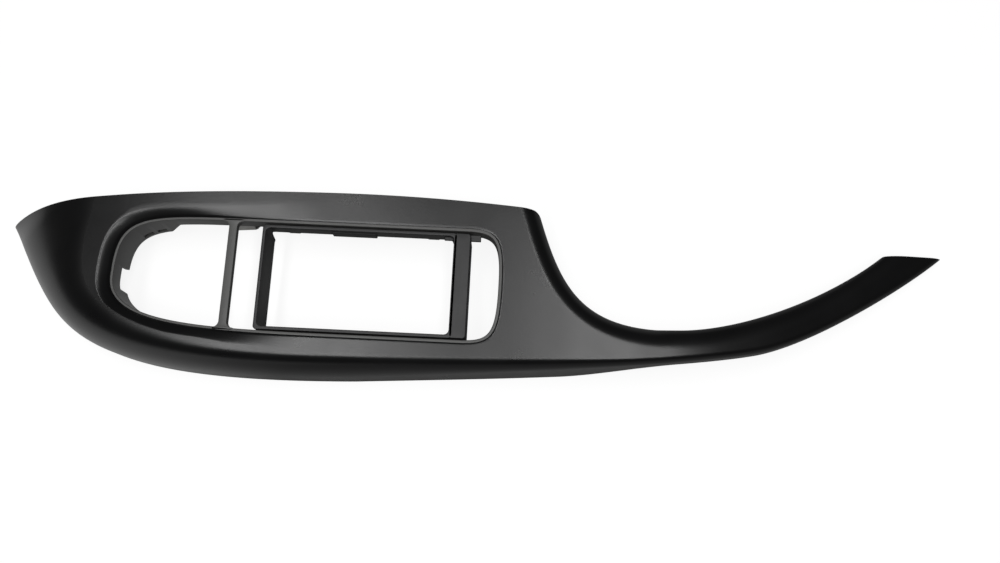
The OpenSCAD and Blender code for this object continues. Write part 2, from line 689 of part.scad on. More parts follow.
// Spring clip of bent strip steel, pushed on to its blade from below
wing_out = 3.2;
wing_h = 9;
// Strip of even thickness along a bent line
function strip_side(line, off) = [for (i = [0 : len(line) - 1]) let (
    a = line[max(0, i - 1)], b = line[min(len(line) - 1, i + 1)])
    line[i] + off * left_of(unit(b - a))];
function strip(line) = concat(strip_side(line, clip_t / 2),
    [for (i = [len(line) - 1 : -1 : 0]) strip_side(line, -clip_t / 2)[i]]);
module spring_clip(c) {
    leg = blade_t / 2 + seat_gap + clip_t / 2;
    foot_z = -2 * seat_gap - clip_t / 2;
    color(zinc) translate([c.x, c.y, blade_low]) rotate(c[2])
        rotate([90, 0, 90]) translate([0, 0, -clip_w / 2]) linear_extrude(clip_w) union() {
            polygon(strip([[-leg, wing_h], [-leg, 0.2], [-leg + 0.4, foot_z],
                [leg - 0.4, foot_z], [leg, 0.2], [leg, wing_h]]));
            for (side = [-1, 1])
                polygon(strip([[side * leg, 0.4], [side * wing_out, wing_h * 0.55],
                    [side * (leg + 0.5), wing_h * 0.95]]));
        }
}
module spring_clip_1() { spring_clip(clips_at[0]); }
module spring_clip_2() { spring_clip(clips_at[1]); }
module spring_clip_3() { spring_clip(clips_at[2]); }
module spring_clip_4() { spring_clip(clips_at[3]); }
module spring_clip_5() { spring_clip(clips_at[4]); }

panel_shell();
switch_frame();
grip_lower_shell();
frame_screws();
grip_screws();
spring_clip_1();
spring_clip_2();
spring_clip_3();
spring_clip_4();
spring_clip_5();
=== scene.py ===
import math
import bpy
import bmesh
import numpy as np
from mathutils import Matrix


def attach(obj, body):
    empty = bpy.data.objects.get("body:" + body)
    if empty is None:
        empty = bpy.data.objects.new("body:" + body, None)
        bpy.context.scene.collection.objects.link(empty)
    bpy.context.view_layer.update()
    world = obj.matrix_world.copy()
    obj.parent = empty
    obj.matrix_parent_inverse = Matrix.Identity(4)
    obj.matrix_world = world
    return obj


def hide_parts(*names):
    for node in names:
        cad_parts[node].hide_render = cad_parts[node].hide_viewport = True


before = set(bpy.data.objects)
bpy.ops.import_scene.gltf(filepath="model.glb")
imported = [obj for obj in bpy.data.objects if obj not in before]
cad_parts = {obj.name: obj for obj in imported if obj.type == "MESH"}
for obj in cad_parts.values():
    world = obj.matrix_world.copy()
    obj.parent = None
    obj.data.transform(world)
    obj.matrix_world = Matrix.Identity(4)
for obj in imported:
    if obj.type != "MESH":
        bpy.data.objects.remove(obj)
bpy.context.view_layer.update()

# Panel skin: one injection moulding in satin black plastic, 2.5 mm thick. Its front edge
# rolls over and down to the floor, its finger side rolls into the sweep, and between them the
# deck dips to the rim of the switch opening. The door line and the foot are cut flat.

BODY_W, DECK_H, DOOR_R, CORNER_R = 90.0, 34.3, 1000.0, 5.0
SKIN_T, NOSE_RISE, DISH_W, GRIP_FALL = 2.5, 3.6, 13.0, 26.8
FRONT_Y, DOOR_CROWN_X, FOOT_Y = -BODY_W / 2, -102.0, 17.5
REACH, SWEEP_X, WAIST_X, WAIST_W, FOOT_LEN = 241.0, 33.0, 100.5, 16.6, 32.0
DISH_CUT, DISH_POWER = 6.3, 1.35
SPLIT_DEPTH, TIP_DEPTH, THIN_FROM, SEAM_FROM, SEAM_RUN = 10.5, 6.5, 150.0, 42.0, 58.0


def ease(t):
    """Smooth step: 3 t squared less 2 t cubed, with t held between 0 and 1."""
    t = np.clip(t, 0.0, 1.0)
    return t * t * (3.0 - 2.0 * t)


def aim(degrees):
    """Unit vector at an angle from the x axis, in plan."""
    a = math.radians(degrees)
    return np.array([math.cos(a), math.sin(a)])


def left(v):
    """A plan direction turned a quarter turn to the left."""
    return np.stack([-v[..., 1], v[..., 0]], axis=-1)


def door_y(x):
    """Door line in plan: an arc of radius DOOR_R whose crown is at DOOR_CROWN_X."""
    return BODY_W / 2 - DOOR_R + np.sqrt(DOOR_R ** 2 - (x - DOOR_CROWN_X) ** 2)


def along(arcs, s):
    """Points and headings on a chain of cubic arcs. s counts the arcs; the fraction blends the
    four poles by the cubic Bernstein weights, and past the ends the line runs on straight,
    60 mm for each unit."""
    arcs, s = np.asarray(arcs, float), np.asarray(s, float)
    i = np.clip(np.floor(s).astype(int), 0, len(arcs) - 1)
    t = np.clip(s - i, 0.0, 1.0)[..., None]
    p, u = arcs[i], 1.0 - t
    at = (u ** 3 * p[..., 0, :] + 3 * u * u * t * p[..., 1, :]
          + 3 * u * t * t * p[..., 2, :] + t ** 3 * p[..., 3, :])
    way = (u * u * (p[..., 1, :] - p[..., 0, :]) + 2 * u * t * (p[..., 2, :] - p[..., 1, :])
           + t * t * (p[..., 3, :] - p[..., 2, :]))
    way = way / np.linalg.norm(way, axis=-1, keepdims=True)
    past = np.minimum(s, 0.0) + np.maximum(s - len(arcs), 0.0)
    return at + 60.0 * past[..., None] * way, way


def through(stations, s):
    """Smooth curve through stations (s, value): a cubic Hermite span between neighbours, whose
    slopes are the chords from one neighbour to the other, and level at both ends."""
    k = np.asarray(stations, float)
    slope = np.zeros(len(k))
    slope[1:-1] = (k[2:, 1] - k[:-2, 1]) / (k[2:, 0] - k[:-2, 0])
    i = np.clip(np.searchsorted(k[:, 0], s, side="right") - 1, 0, len(k) - 2)
    w = k[i + 1, 0] - k[i, 0]
    t = np.clip((s - k[i, 0]) / w, 0.0, 1.0)
    return ((2 * t ** 3 - 3 * t * t + 1) * k[i, 1] + (t ** 3 - 2 * t * t + t) * slope[i] * w
            + (3 * t * t - 2 * t ** 3) * k[i + 1, 1] + (t ** 3 - t * t) * slope[i + 1] * w)


nose_tip = np.array([-REACH, door_y(-REACH)])
grip_tip = np.array([REACH, FOOT_Y])
bulge = np.array([-60.0, FRONT_Y])
knee = np.array([138.0, FRONT_Y + 10.2])
FRONT_PATH = [
    [nose_tip, nose_tip + 61 * aim(-59.5), [-REACH + 30, FRONT_Y], bulge],
    [bulge, bulge + [60, 1.2], knee - 44 * aim(10.5), knee],
    [knee, knee + 30 * aim(10.5), grip_tip - 27 * aim(37), grip_tip]]
sweep_top = np.array([SWEEP_X, door_y(SWEEP_X)])
waist = np.array([WAIST_X, FRONT_Y + 5 + WAIST_W])
foot = np.array([REACH - FOOT_LEN, FOOT_Y])
SWEEP_PATH = [
    [sweep_top, sweep_top + 39.6 * aim(-75), waist - [48, 0], waist],
    [waist, waist + [31, 0], foot - 39 * aim(36), foot]]

# The opening's own axes: origin at its middle, turned a little against the long axis
OPEN_LEN, OPEN_W, OPEN_TURN = 187.3, 53.9, -2.75
OPEN_AT = np.array([-81.4, 1.0])
RIM_Z, BEAD, LIP_W, LIP_FALL = DECK_H - 0.3, 0.3, 1.6, 0.6
o_right, o_left, o_front, o_back = OPEN_LEN / 2, -OPEN_LEN / 2, -OPEN_W / 2 + 0.4, OPEN_W / 2 + 0.4


def line_arc(a, b):
    """A straight line written as a cubic arc, its poles at thirds."""
    a, b = np.asarray(a, float), np.asarray(b, float)
    return [a, a * 2 / 3 + b / 3, a / 3 + b * 2 / 3, b]


OPEN_PATH = [
    [[o_left, -3], [o_left, o_front - 0.8], [-44.5, o_front], [23.5, o_front]],
    line_arc([23.5, o_front], [o_right - 17.5, o_front]),
    [[o_right - 17.5, o_front], [o_right - 3.5, o_front], [o_right - 0.6, o_front + 3], [o_right, -3]],
    [[o_right, -3], [o_right + 0.3, o_back - 3], [o_right - 1.2, o_back], [o_right - 17.5, o_back]],
    line_arc([o_right - 17.5, o_back], [-21.7, o_back]),
    [[-21.7, o_back], [-86, o_back], [o_left, o_back], [o_left, -3]]]


def rim_own(s, off):
    """Rim of the opening in its own axes, moved off its line by off, outward for more than 0."""
    at, way = along(OPEN_PATH, np.where(np.asarray(s) < 0, np.asarray(s) + 6.0, s))
    return at - np.asarray(off)[..., None] * left(way)


def out_of_opening(p):
    """Plan points from the opening's own axes into the part's: a turn, then a shift."""
    a = math.radians(OPEN_TURN)
    c, s = math.cos(a), math.sin(a)
    return OPEN_AT + np.stack([p[..., 0] * c - p[..., 1] * s, p[..., 0] * s + p[..., 1] * c], axis=-1)


def crown(x):
    """Height of the deck along x: a smooth rise towards the nose, and a fall down the grip that
    goes as 1.8 t squared less 0.8 t cubed."""
    t = np.clip((x - 95.0) / 150.0, 0.0, 1.1)
    return (DECK_H + NOSE_RISE * ease((-70.0 - x) / 105.0)
            - GRIP_FALL * (1.8 * t * t - 0.8 * t ** 3))


def split(x):
    """Depth of the grip's upper half, eased from SPLIT_DEPTH to TIP_DEPTH at the tip."""
    k = ease((x - THIN_FROM) / (REACH - THIN_FROM))
    return SPLIT_DEPTH * (1 - k) + TIP_DEPTH * k


def parting(x):
    """Height of the skin's lower edge: on the floor along the body, then up to the grip's seam."""
    return ease((x - SEAM_FROM) / SEAM_RUN) * (crown(x) - split(x))


FRONT_ROUND = [(-0.4, 65), (0, 62), (0.25, 38), (0.5, 22), (0.75, 12.5), (1, 9.5), (1.25, 7.2),
               (1.45, 5.4), (1.67, 3.4), (2, 3.4), (3.4, 5)]
FRONT_DEPTH = [(-0.4, DECK_H), (0.25, DECK_H), (0.5, 29), (0.75, 24), (1, 19), (1.25, 13),
               (1.45, 9), (1.67, 5.5), (2, 5), (3.4, 5)]
WALL_H = [(-0.4, 0.8), (0, 0.8), (0.35, 3), (4, 3)]
SOFTNESS = [(-0.4, 0.9), (0, 0.7), (0.1, 0.2), (0.25, 0.05), (0.5, 0), (4, 0)]
FINGER_DEPTH = [(-1, 9.5), (1.2, 9.5), (2, 5), (2.4, 5)]
FINGER_ROUND = [(-1, 9.5), (0.5, 9.5), (1, 11), (1.3, 11), (2, 8), (2.4, 8)]
FACING = [(1.45, -0.4), (1.48, 0), (1.52, 0.3), (1.57, 0.55), (1.62, 0.74), (1.68, 0.87), (1.77, 1),
          (2, 1.32), (3, 2), (3.4, 2.3)]
RIM_FACING = [(-0.4, -0.46), (0, -0.42), (0.1, -0.36), (0.25, -0.18), (0.4, 0), (0.5, 0.09),
              (0.6, 0.22), (0.75, 0.48), (0.9, 0.78), (1, 1), (1.08, 1.27), (1.16, 1.58),
              (1.25, 1.93), (1.345, 2.36), (1.45, 2.66)]
JOIN_S, GRIP_END_S, BACK_S = 1.45, 3.3, (2.66, 3.75, 5.54)


def roll(edge, inward, r, dz, soft, inset, rows):
    """Rows that climb the outer wall and roll over its edge. The angle a goes from 0 to 90
    degrees: the point moves inward by r(1 - cos a), and stands below the crown by
    dz(1 - sin a), with sin a squared in a soft rolling. The first row is the wall's foot."""
    a = np.radians(np.concatenate([[0.0], np.linspace(0, 90, rows)]))[:, None]
    xy = edge + inward * (inset + (r - inset) * (1 - np.cos(a)))[..., None]
    lift = np.sin(a) * (1 - soft) + np.sin(a) ** 2 * soft
    z = crown(xy[..., 0]) - inset - (dz - inset) * (1 - lift)
    z[0] = parting(edge[:, 0])
    return np.concatenate([xy, z[..., None]], axis=-1)


def front_roll(s, inset, rows):
    """The rolling along the front edge, at stations s of its path."""
    p, way = along(FRONT_PATH, s)
    dz = np.minimum(through(FRONT_DEPTH, s), crown(p[:, 0]) - parting(p[:, 0]) - through(WALL_H, s))
    return roll(p, left(way), through(FRONT_ROUND, s), dz, through(SOFTNESS, s), inset, rows)


def finger_roll(s, inset, rows):
    """The rolling along the finger side, at the stations that face s."""
    f = through(FACING, s)
    p, way = along(SWEEP_PATH, f)
    dz = np.minimum(through(FINGER_DEPTH, f), crown(p[:, 0]) - parting(p[:, 0]) - 3.0)
    return roll(p, -left(way), through(FINGER_ROUND, f), dz, 0.0, inset, rows)


def between(a, b, rows, inset):
    """Rows from one edge to another, straight in plan and on the crown's height."""
    t = np.linspace(0, 1, rows)[:, None, None]
    g = a * (1 - t) + b * t
    g[1:-1, :, 2] = crown(g[1:-1, :, 0]) - inset
    return g


def ring(outer, rim_s, inset, rows):
    """Rows from the rolled edges in to the rim: on the crown, then down a dish that falls by its
    share of the width to the power 1.35, and over a lip that turns down to the land by a square.
    Towards the nose the dish is narrower by DISH_CUT."""
    o = out_of_opening(rim_own(rim_s, np.zeros(len(rim_s))))
    n = out_of_opening(rim_own(rim_s, np.ones(len(rim_s)))) - o
    far = outer[:, :2] - o
    reach = np.linalg.norm(far, axis=1)
    way = far / reach[:, None]
    dish = np.minimum(DISH_W - DISH_CUT * ease((-75.0 - o[:, 0]) / 60.0), 0.85 * reach)
    land = 1.0 / np.sum(way * n, axis=1)
    k = np.linspace(0, 1, rows)[:, None]
    d = np.concatenate([reach + (dish - reach) * k[:-1], dish + (land - dish) * (1 - (1 - k) ** 1.5)])
    xy = o + way * d[..., None]
    low = RIM_Z + BEAD
    share = np.maximum(1 - (d - land) / (dish - land), 0)
    z = low + (crown(xy[..., 0]) - low) * (1 - share ** DISH_POWER)
    z -= inset + LIP_FALL * np.maximum(1 - (d - land) / LIP_W, 0) ** 2
    g = np.concatenate([xy, z[..., None]], axis=-1)
    g[0] = outer
    return g


def mesh_of(name, grids, weld=True):
    """One mesh from grids of points in mm, rows by columns. Each four neighbours make a face,
    turned over where the grid's flag says so, and points that fall together are merged."""
    points, faces, start = [], [], 0
    for g, flip in grids:
        rows, cols = g.shape[:2]
        i = start + np.arange(rows * cols).reshape(rows, cols)
        a, b, d, e = i[:-1, :-1], i[:-1, 1:], i[1:, :-1], i[1:, 1:]
        faces.append(np.stack([a, d, e, b] if flip else [a, b, e, d], axis=-1).reshape(-1, 4))
        points.append(np.asarray(g, float).reshape(-1, 3) / 1000.0)
        start += rows * cols
    mesh = bpy.data.meshes.new(name)
    mesh.from_pydata(np.concatenate(points).tolist(), [], np.concatenate(faces).tolist())
    if weld:
        bm = bmesh.new()
        bm.from_mesh(mesh)
        bmesh.ops.remove_doubles(bm, verts=bm.verts, dist=2e-6)
        bmesh.ops.dissolve_degenerate(bm, edges=bm.edges, dist=1e-7)
        bm.to_mesh(mesh)
        bm.free()
    return mesh


def piece(name, mesh, angle=35.0):
    """An object on the part's origin, smooth but for edges sharper than the angle."""
    obj = bpy.data.objects.new(name, mesh)
    bpy.context.scene.collection.objects.link(obj)
    mesh.shade_smooth()
    mesh.set_sharp_from_angle(angle=math.radians(angle))
    return obj


def capped(name, tube):
    """A mesh from a tube of closed sections, with its open ends filled."""
    mesh = mesh_of(name, [(tube, False)])
    bm = bmesh.new()
    bm.from_mesh(mesh)
    bmesh.ops.holes_fill(bm, edges=[e for e in bm.edges if e.is_boundary], sides=0)
    bmesh.ops.recalc_face_normals(bm, faces=bm.faces)
    bm.to_mesh(mesh)
    bm.free()
    return mesh


def prism(name, outline, low, high):
    """An upright prism on a plan outline that runs anticlockwise, in mm."""
    n = len(outline)
    ring_of = np.concatenate([outline, outline[:1]])
    wall = np.stack([np.c_[ring_of, np.full(n + 1, low)], np.c_[ring_of, np.full(n + 1, high)]])
    return capped(name, wall)


def carve(obj, cutters, angle=35.0, folded=False):
    """Takes the space of closed cutters out of a closed piece, for good. A piece whose inner face
    folds over itself is marked as folded."""
    for mesh in cutters:
        tool = bpy.data.objects.new("cutter", mesh)
        bpy.context.scene.collection.objects.link(tool)
        cut = obj.modifiers.new("cut", "BOOLEAN")
        cut.operation, cut.solver, cut.object = "DIFFERENCE", "EXACT", tool
        cut.use_self = folded
        bpy.context.view_layer.update()
        fresh = bpy.data.meshes.new_from_object(obj.evaluated_get(bpy.context.evaluated_depsgraph_get()))
        obj.modifiers.clear()
        obj.data = fresh
        bpy.data.objects.remove(tool)
    obj.data.shade_smooth()
    obj.data.set_sharp_from_angle(angle=math.radians(angle))


fine = 4
body_s = np.concatenate([np.linspace(-0.4, 0, 8)[:-1], np.linspace(0, 1, 28 * fine + 1),
                         np.linspace(1, JOIN_S, 5 * fine + 1)[1:]])
grip_s = JOIN_S + (GRIP_END_S - JOIN_S) * np.linspace(0, 1, 40 * fine + 1) ** 1.6
all_s = np.concatenate([body_s, grip_s[1:]])
join_at = len(body_s) - 1
fill_n, back_n, roll_n, ring_n = 12, 60, 28, 24
rim_s = np.concatenate([through(RIM_FACING, body_s),
                        np.linspace(BACK_S[0], BACK_S[1], fill_n + 1)[1:],
                        np.linspace(BACK_S[1], BACK_S[2], back_n + 1)[1:]])


def skin_grids(inset):
    """The four grids of one face of the skin, inset from the outer face."""
    front, finger = front_roll(all_s, inset, roll_n), finger_roll(grip_s, inset, roll_n)[::-1]
    fill = between(front[-1, join_at:], finger[0], fill_n + 1, inset)
    back = between(fill[-1, :1], front[-1, :1], back_n + 1, inset)[:, 0]
    outer = np.concatenate([front[-1, :join_at + 1], fill[1:, 0], back[1:]])
    return front, fill, finger, ring(outer, rim_s, inset, ring_n), outer


front_out, fill_out, finger_out, ring_out, edge_out = skin_grids(0.0)
front_in, fill_in, finger_in, ring_in, edge_in = skin_grids(SKIN_T)
back_from = join_at + fill_n
skin = piece("panel_skin", mesh_of("panel_skin", [
    (front_out, False), (fill_out, False), (finger_out, False), (ring_out, False),
    (front_in, True), (fill_in, True), (finger_in, True), (ring_in, True),
    (np.stack([front_in[0], front_out[0]]), False), (np.stack([finger_out[-1], finger_in[-1]]), False),
    (np.stack([ring_out[-1], ring_in[-1]]), False),
    (np.stack([front_in[:, 0], front_out[:, 0]], axis=1), False),
    (np.stack([finger_in[:, 0], finger_out[:, 0]], axis=1), False),
    (np.stack([edge_in[back_from:], edge_out[back_from:]]), False),
    (np.stack([front_out[:, -1], front_in[:, -1]], axis=1), False),
    (np.stack([fill_out[:, -1], fill_in[:, -1]], axis=1), False),
    (np.stack([finger_out[:, -1], finger_in[:, -1]], axis=1), False)]))

door_slope = -math.degrees(math.asin((SWEEP_X - DOOR_CROWN_X) / DOOR_R))
corner_leg = CORNER_R * math.tan(math.radians((door_slope + 75) / 2))
corner_at = sweep_top - corner_leg * aim(door_slope) - CORNER_R * left(aim(door_slope))
turn = np.radians(np.linspace(90 + door_slope, 90 - 75, 13))
corner = corner_at + CORNER_R * np.stack([np.cos(turn), np.sin(turn)], axis=-1)
door_x = np.linspace(-REACH - 20, corner_at[0], 97)[:-1]
behind_door = np.concatenate([np.stack([door_x, door_y(door_x)], axis=-1), corner,
                              [[SWEEP_X + 30, corner[-1, 1]], [SWEEP_X + 30, 105], [-REACH - 20, 105]]])
behind_foot = np.array([[foot[0] - 20, FOOT_Y], [REACH + 78, FOOT_Y], [REACH + 78, FOOT_Y + 60],
                        [foot[0] - 20, FOOT_Y + 60]])
carve(skin, [prism("behind_door", behind_door, -12, 40), prism("behind_foot", behind_foot, -12, 40)],
      folded=True)
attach(skin, "root")
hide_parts("panel_shell")

# Rim wall: the same moulding turns down at the opening, and leaves a bright land 1 mm wide. The
# wall is deep around the round switch, where two slots take its clips and a notch its nose, and
# it steps up to a shallow wall around the window switches.

WELL_T, LAND_W, WELL_DEEP, WELL_SHALLOW = 2.2, 1.0, 19.0, 9.0
SLOT_W, SLOT_X = 4.5, (-84.5, -78.0)
well_low, well_mid = RIM_Z - WELL_DEEP, RIM_Z - WELL_SHALLOW


def raise_own(own, z):
    """Points in the opening's own axes and their heights, as points of the part."""
    p = out_of_opening(own)
    return np.concatenate([p, np.broadcast_to(z, p.shape[:-1])[..., None]], axis=-1)


def wall_foot(own):
    """Height of the rim wall's lower edge: deep at the round end, then a straight slope up to
    the shallow wall, and a notch at the nose end."""
    x, y = own[..., 0], own[..., 1]
    z = well_low + (WELL_DEEP - WELL_SHALLOW) * np.clip((x + 74.0) / 7.0, 0, 1)
    return np.where((x < -80) & (np.abs(y + 2) < 6), RIM_Z - 10, z)


def block(name, x, y, z):
    """A plain cutter between two corners, in the opening's own axes."""
    own = np.array([[x[0], y[0]], [x[1], y[0]], [x[1], y[1]], [x[0], y[1]]])
    return prism(name, out_of_opening(own), z[0], z[1])


s = np.concatenate([np.linspace(i, i + 1, n, endpoint=False)
                    for i, n in enumerate([160, 16, 40, 40, 40, 160])] + [[6.0]])
foot_z = wall_foot(rim_own(s, np.zeros(len(s))))
quarter = np.radians(np.linspace(0, 90, 6))
profile = ([(WELL_T, RIM_Z - 0.05, 0), (WELL_T, 0.4, 1), (WELL_T - 0.12, 0.12, 1), (WELL_T - 0.4, 0, 1),
            (0.4, 0, 1), (0.12, 0.12, 1), (0, 0.4, 1)]
           + [(0.45 - 0.45 * math.cos(a), RIM_Z - 0.45 + 0.45 * math.sin(a), 0) for a in quarter]
           + [(LAND_W + 0.4, RIM_Z, 0), (WELL_T, RIM_Z - 0.05, 0)])
wall = np.stack([raise_own(rim_own(s, np.full(len(s), off)), z + foot_z * low) for off, z, low in profile])
rim_wall = piece("rim_wall", mesh_of("rim_wall", [(wall, False)]))
carve(rim_wall, [block("slot", (x - SLOT_W / 2, x + SLOT_W / 2), (o_back - 12, o_back + 8),
                       (well_low + 2, well_low + 5.5)) for x in SLOT_X])
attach(rim_wall, "root")
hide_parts("panel_shell")

# Divider: a flat web between the round switch and the window switches, moulded in one with the
# rim, with rounded roots.

DIVIDER_W, DIVIDER_X, ROOT_R = 4.0, -38.0, 3.0


def bar_between(y, x_left, x_right, low, high, r):
    """Rows along y of a bar's closed section: up one side, over rounded top edges of radius r,
    down the other side, and back."""
    a = np.radians(np.linspace(0, 90, 5))
    up = [(0, low)] + [(r - r * math.cos(k), high - r + r * math.sin(k)) for k in a]
    side = [(x_left + dx, np.full(len(y), z)) for dx, z in up]
    side += [(x_right - dx, np.full(len(y), z)) for dx, z in up[::-1]] + [side[0]]
    return np.stack([raise_own(np.stack([x, y], axis=-1), z) for x, z in side])


y_front, y_back = rim_own(0.66, 0.0)[1], rim_own(5.095, 0.0)[1]
y = np.concatenate([[y_front - 1], y_front + 3 * np.linspace(0, 1, 16) ** 1.5,
                    y_back - 3 * np.linspace(1, 0, 16) ** 1.5, [y_back + 1]])
near = np.clip(np.minimum(y - y_front, y_back - y), 0, ROOT_R)
flare = ROOT_R - np.sqrt(ROOT_R ** 2 - (ROOT_R - near) ** 2)
divider = piece("divider", capped("divider", bar_between(
    y, DIVIDER_X - DIVIDER_W / 2 - flare, DIVIDER_X + DIVIDER_W / 2 + flare, RIM_Z - 3.5, RIM_Z, 0.3)))
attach(divider, "root")
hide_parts("panel_shell")

# Door flange: a rib under the skin along the door line, moulded in one with it, that keeps the
# long edge straight against the door.

RIB_T, FLANGE_H = 1.8, 9.0
x = np.linspace(-160, 22, 92)
top, edge_y = crown(x) - SKIN_T + 0.3, door_y(x) - 0.03
section = [(0, top), (RIB_T, top), (RIB_T, top - FLANGE_H), (RIB_T - 0.3, top - FLANGE_H - 0.3),
           (0.3, top - FLANGE_H - 0.3), (0, top - FLANGE_H), (0, top)]
flange = piece("door_flange", capped("door_flange", np.stack(
    [np.stack([x, edge_y - dy, z], axis=-1) for dy, z in section])))
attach(flange, "root")
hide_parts("panel_shell")

# Screw bosses: round posts under the skin, moulded in one with it, with blind pilots. Four take
# the screws from the door, four the switch frame's ears and three the grip's lower half.


def turned_on(at, line, around=40):
    """A round part on an upright axis: the line gives radius and height in mm."""
    line, a = np.asarray(line, float), np.radians(np.linspace(0, 360, around + 1))
    spun = np.stack([line[:, :1] * np.cos(a), line[:, :1] * np.sin(a),
                     np.broadcast_to(line[:, 1:], (len(line), len(a)))], axis=-1)
    return spun + np.array([at[0], at[1], 0.0])


def boss(at, d, low, bury, bore, depth):
    """Line of a boss from its root down, over its foot and up into its pilot."""
    high, r = crown(at[0]) - SKIN_T + bury, d / 2
    return turned_on(at, [(0, high), (r + 0.5, high), (r + 0.5, high - bury), (r + 0.15, high - bury - 0.35),
                          (r, high - bury - 0.9), (r, low + 0.3), (r - 0.3, low), (bore / 2 + 0.3, low),
                          (bore / 2, low + 0.3), (bore / 2, low + depth - 0.8), (0, low + depth)])


def upright(s_front):
    """Middle of the grip at a station of its front edge."""
    s_front = np.array([s_front])
    return (along(FRONT_PATH, s_front)[0][0] + along(SWEEP_PATH, through(FACING, s_front))[0][0]) / 2


DOOR_SCREWS = [(-190, 22.5, 3), (-70, 35.6, 3.8), (26, 14, 4.6), (39, -27.5, 5.4)]
ear_out = WELL_T + 2.2
EARS = [(ex, ey) for ex in (-10, 60) for ey in (o_front - ear_out, o_back + ear_out)]
ears_at = out_of_opening(np.array(EARS, float))
grip_at = [upright(k) for k in (1.84, 2.27, 2.63)]
frame_boss_low = well_mid - 1
posts = [boss(p, 9.0, p[2], 0.4, 4.0, 18.0) for p in DOOR_SCREWS]
posts += [boss(p, 6.4, frame_boss_low, 0.4, 2.1, 6.5) for p in ears_at]
posts += [boss(p, 5.6, parting(p[0]) - 1, 0.9, 2.1, crown(p[0]) - SKIN_T - parting(p[0]) + 0.5)
          for p in grip_at]
bosses = piece("screw_bosses", mesh_of("screw_bosses", [(g, False) for g in posts]))
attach(bosses, "root")
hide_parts("panel_shell")

# Clip blades and foot block: flat tongues under the skin that carry the spring clips, and the
# block in the grip's foot that takes a screw from the door, all moulded in one with the skin.

CLIPS = [(-193, 4, 70), (-118, 35.5, 2), (-18, 35, -3), (-45, -34.6, 0), (18, -33, 0)]
BLADE_T, BLADE_LOW, CLIP_W = 2.0, 6.0, 10.0


def tongue(at, turn, wide, thick, low, high, r):
    """Closed sections stacked upward: a rectangle whose foot is rounded by r."""
    a = np.radians(np.linspace(0, 90, 4))
    rows = [(r - r * math.sin(k), low + r - r * math.cos(k)) for k in a] + [(0, high)]
    c, s = aim(turn)
    out = []
    for inset, z in rows:
        u, v = wide / 2 - inset, thick / 2 - inset
        q = np.array([[-u, -v], [u, -v], [u, v], [-u, v], [-u, -v]])
        out.append(np.stack([at[0] + q[:, 0] * c - q[:, 1] * s, at[1] + q[:, 0] * s + q[:, 1] * c,
                             np.full(5, z)], axis=-1))
    return np.stack(out)


blades = [capped("blade", tongue(b, b[2], CLIP_W + 2, BLADE_T, BLADE_LOW, crown(b[0]) - SKIN_T + 0.4, 0.4))
          for b in CLIPS]
FOOT_X, FOOT_Z = REACH - 21, 7.0
foot_block = prism("foot_block", np.array([[FOOT_X - 3.5, FOOT_Y - 6.2], [FOOT_X + 3.5, FOOT_Y - 6.2],
                                           [FOOT_X + 3.5, FOOT_Y], [FOOT_X - 3.5, FOOT_Y]]),
                   FOOT_Z - 3.6, crown(FOOT_X + 3.5) - SKIN_T + 0.6)


def joined(name, meshes):
    """One mesh from several."""
    bm = bmesh.new()
    for m in meshes:
        bm.from_mesh(m)
    mesh = bpy.data.meshes.new(name)
    bm.to_mesh(mesh)
    bm.free()
    return mesh


def bore(at, axis, r, low, high):
    """A round cutter on an upright axis, or on one along y, between two heights or depths."""
    a = np.radians(np.linspace(0, 360, 33))
    tube = np.stack([np.stack([r * np.cos(a), r * np.sin(a), np.full(33, z)], axis=-1) for z in (low, high)])
    if axis == "y":
        tube = np.stack([tube[..., 0], tube[..., 2], -tube[..., 1]], axis=-1)
    return capped("bore", tube + np.array([at[0], at[1], at[2]]))


clip_blades = piece("clip_blades", joined("clip_blades", blades))
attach(clip_blades, "root")
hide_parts("panel_shell")
block_piece = piece("foot_block", foot_block)
carve(block_piece, [bore((FOOT_X, FOOT_Y, FOOT_Z), "y", 1.6, -5.5, 1.0)])
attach(block_piece, "root")
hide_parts("panel_shell")

# Switch frame: a separate moulding in plain black, in the opening to the right of the divider.
# Its four walls hold the window-switch pack, a hollow bar closes its right end, and four ears
# take its screws.

FRAME_LEFT, FRAME_LEN, FRAME_H, FRAME_T, FRAME_GAP, BAR_W, FRAME_DROP = -23.5, 102.5, 20.0, 1.6, 0.8, 8.2, 0.6
f_right, f_front, f_back = FRAME_LEFT + FRAME_LEN, o_front + FRAME_GAP, o_back - FRAME_GAP
f_top, bar_left = RIM_Z - FRAME_DROP, FRAME_LEFT + FRAME_LEN - BAR_W
f_low = f_top - FRAME_H
BACK_STEP, BAR_MID = 12, 4.09
EAR_R, EAR_HOLE, EAR_T = 3.2, 1.4, 2.4


def rounded(x0, x1, y0, y1, r, n=9):
    """A rectangle with round corners, anticlockwise and closed, from corner arcs of n points."""
    a = np.radians(np.linspace(0, 90, n))
    corners = ((x1 - r, y0 + r, -90), (x1 - r, y1 - r, 0), (x0 + r, y1 - r, 90), (x0 + r, y0 + r, 180))
    arcs = [np.stack([cx + r * np.cos(a + math.radians(k)), cy + r * np.sin(a + math.radians(k))], axis=-1)
            for cx, cy, k in corners]
    line = np.concatenate(arcs)
    return np.concatenate([line, line[:1]])


